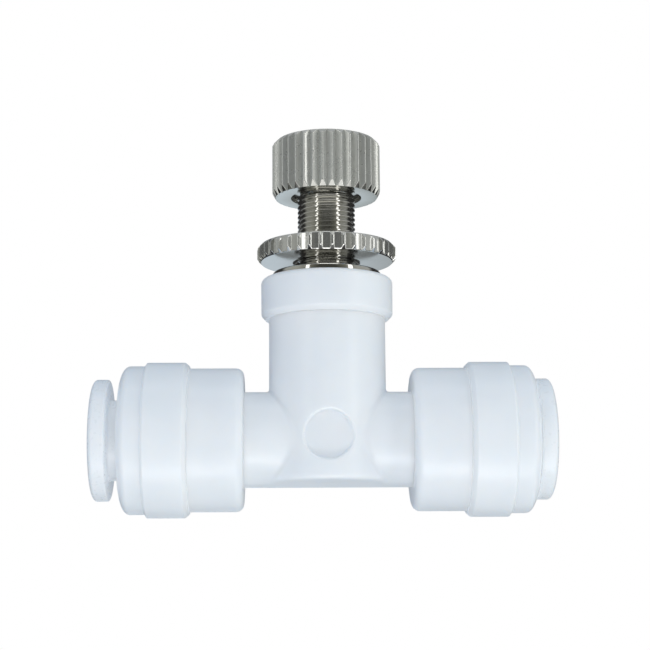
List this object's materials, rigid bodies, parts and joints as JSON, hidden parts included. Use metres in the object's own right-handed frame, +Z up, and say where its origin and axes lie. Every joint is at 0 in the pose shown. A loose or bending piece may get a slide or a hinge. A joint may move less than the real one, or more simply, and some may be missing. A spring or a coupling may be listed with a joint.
{
  "type": "flow control valve",
  "caption": "In-line needle valve: white plastic tee body with a push-in tube socket at each end, and a knurled metal adjusting screw with a lock nut on top.",
  "frame": {"origin": "tee centre, where the tube line crosses the adjusting screw's axis", "axes": "+X along the tube line towards the socket whose collet is pressed in, +Z up the adjusting screw towards its knob, +Y towards the back"},
  "size_m": [0.0486, 0.0164, 0.0409],
  "materials": {
    "body_acetal": "satin moulded",
    "collet_acetal": "satin moulded",
    "nickel_plate": "polished nickel plate on brass",
    "nitrile": "matt",
    "spring_steel": "bright ground"
  },
  "bodies": {
    "valve_body": {"valve_body": "body_acetal", "threaded_bushing": "nickel_plate", "bushing_o_ring": "nitrile", "left_end_cap": "body_acetal", "left_tube_o_ring": "nitrile", "left_spacer_ring": "collet_acetal", "right_end_cap": "body_acetal", "right_tube_o_ring": "nitrile", "right_spacer_ring": "collet_acetal"},
    "stem_seal": {"stem_o_ring": "nitrile"},
    "adjusting_screw": {"needle_stem": "nickel_plate", "adjusting_knob": "nickel_plate"},
    "lock_nut": {"lock_nut": "nickel_plate"},
    "left_collet": {"left_collet": "collet_acetal", "left_tooth_1": "spring_steel", "left_tooth_2": "spring_steel", "left_tooth_3": "spring_steel", "left_tooth_4": "spring_steel"},
    "right_collet": {"right_collet": "collet_acetal", "right_tooth_1": "spring_steel", "right_tooth_2": "spring_steel", "right_tooth_3": "spring_steel", "right_tooth_4": "spring_steel"}
  },
  "joints": [
    {"name": "stem_rise", "type": "slide", "parent": "valve_body", "child": "stem_seal", "axis": [0, 0, 1], "range_m": [-0.00212, 0.00212]},
    {"name": "knob_turn", "type": "hinge", "parent": "stem_seal", "child": "adjusting_screw", "pos_m": [0, 0, 0], "axis": [0, 0, 1], "range_deg": [-1440, 1440]},
    {"name": "lock_nut_travel", "type": "slide", "parent": "valve_body", "child": "lock_nut", "axis": [0, 0, 1], "range_m": [-0.00115, 0.0029]},
    {"name": "left_collet_press", "type": "slide", "parent": "valve_body", "child": "left_collet", "axis": [1, 0, 0], "range_m": [0, 0.00111]},
    {"name": "right_collet_press", "type": "slide", "parent": "valve_body", "child": "right_collet", "axis": [1, 0, 0], "range_m": [0, 0.00111]}
  ],
  "couplings": [
    {"joint": "stem_rise", "follows": "knob_turn", "m_per_rad": 0.000084352}
  ]
}
